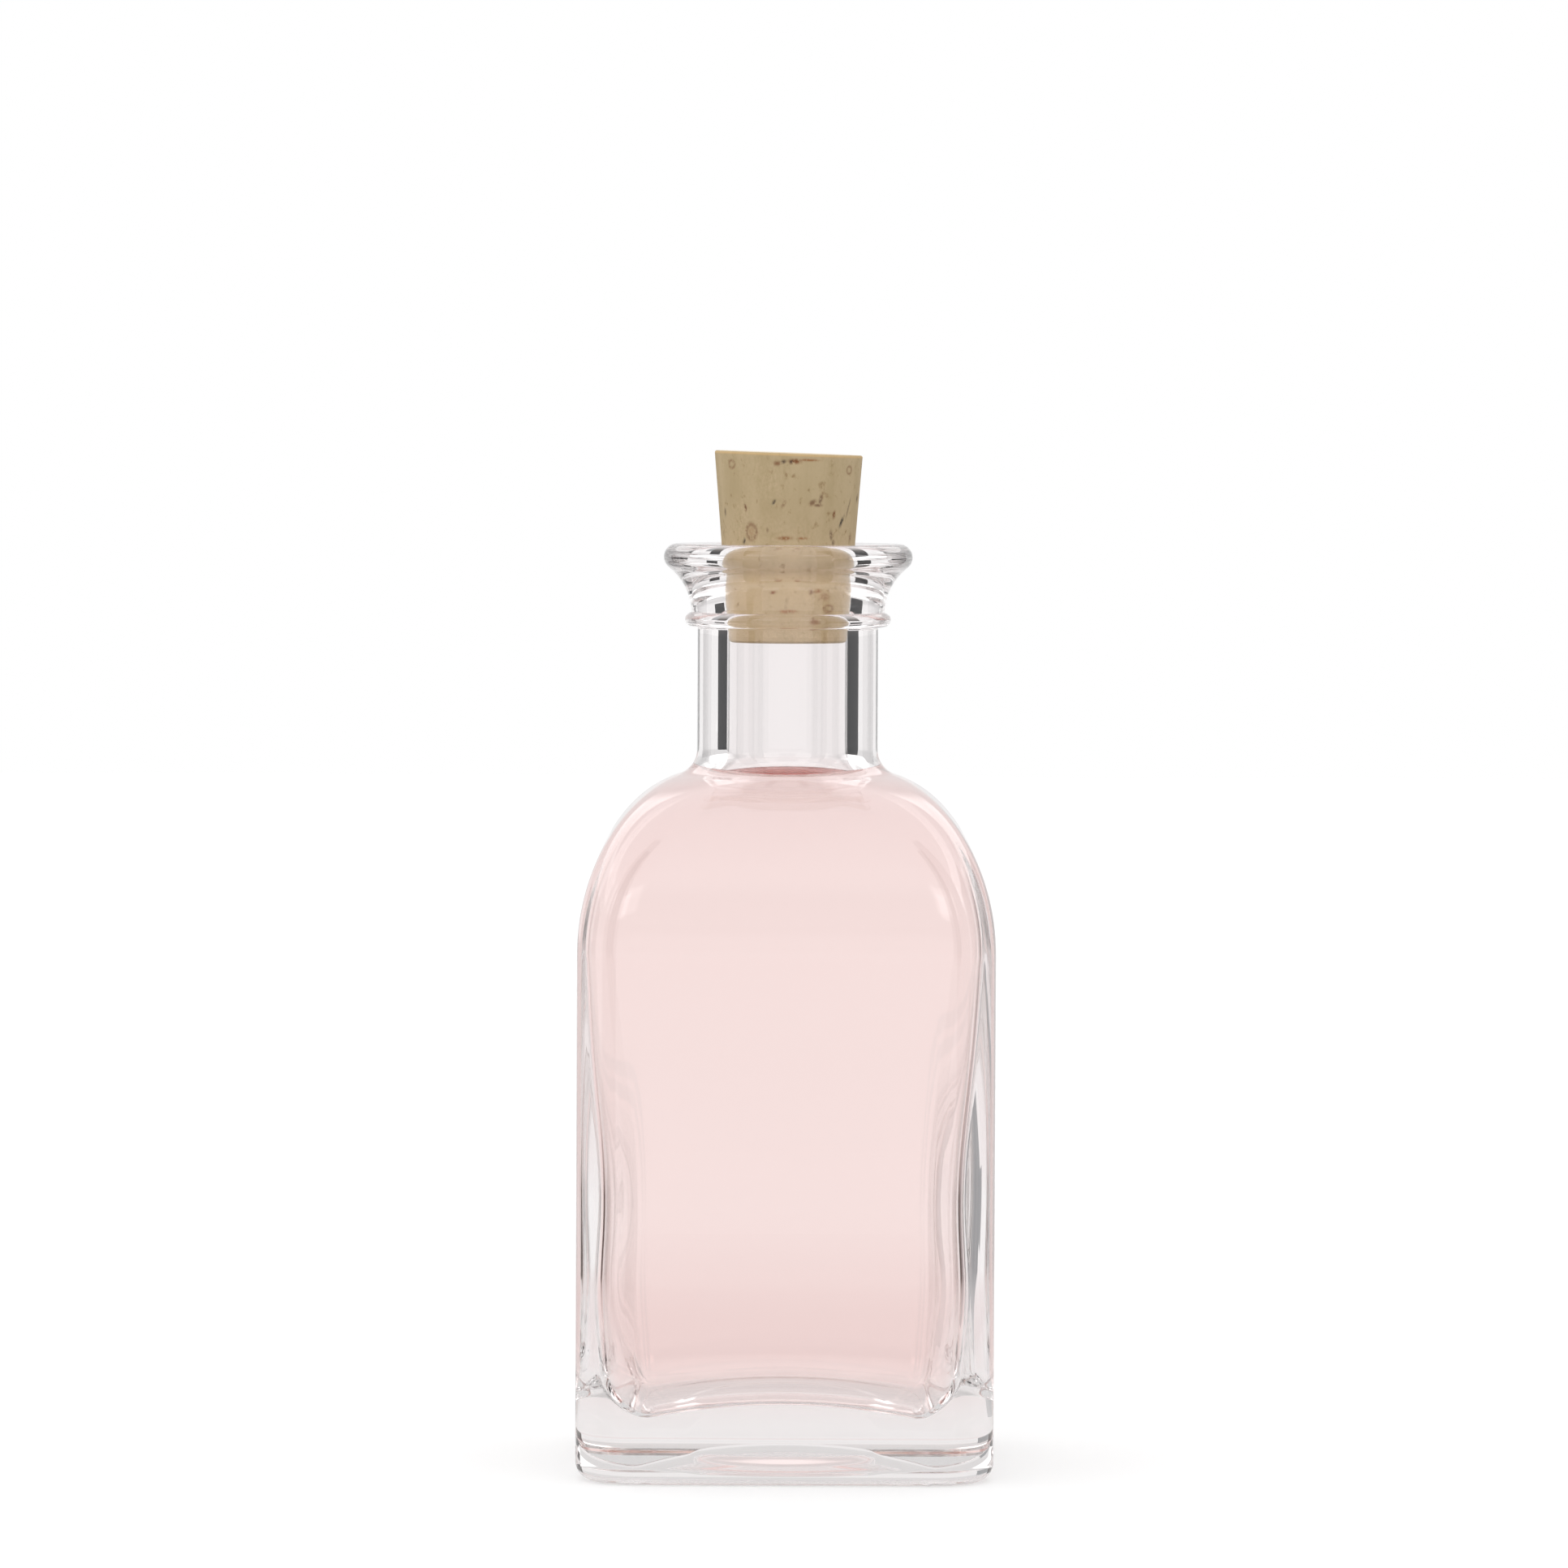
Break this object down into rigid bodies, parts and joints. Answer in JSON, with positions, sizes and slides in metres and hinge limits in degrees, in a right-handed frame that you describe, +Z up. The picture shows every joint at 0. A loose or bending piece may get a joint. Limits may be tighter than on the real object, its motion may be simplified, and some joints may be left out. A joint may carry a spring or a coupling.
{
  "type": "apothecary bottle",
  "caption": "Square clear glass apothecary bottle with round shoulders, a ringed neck and flared lip, holding pale pink liquid, closed by a tapered cork.",
  "frame": {"origin": "middle of the standing ring under the foot, on the surface that the bottle stands on", "axes": "+Z up along the neck, -Y out of the front face that the picture shows, +X to its right"},
  "size_m": [0.048, 0.048, 0.118],
  "materials": {
    "clear_glass": "gloss",
    "tinted_liquid": "gloss",
    "cork": "matte"
  },
  "bodies": {
    "bottle": {"glass_bottle": "clear_glass", "liquid_fill": "tinted_liquid"},
    "cork": {"cork_stopper": "cork"}
  },
  "joints": [
    {"name": "cork_pull", "type": "slide", "parent": "bottle", "child": "cork", "axis": [0, 0, 1], "range_m": [0, 0.03]}
  ]
}
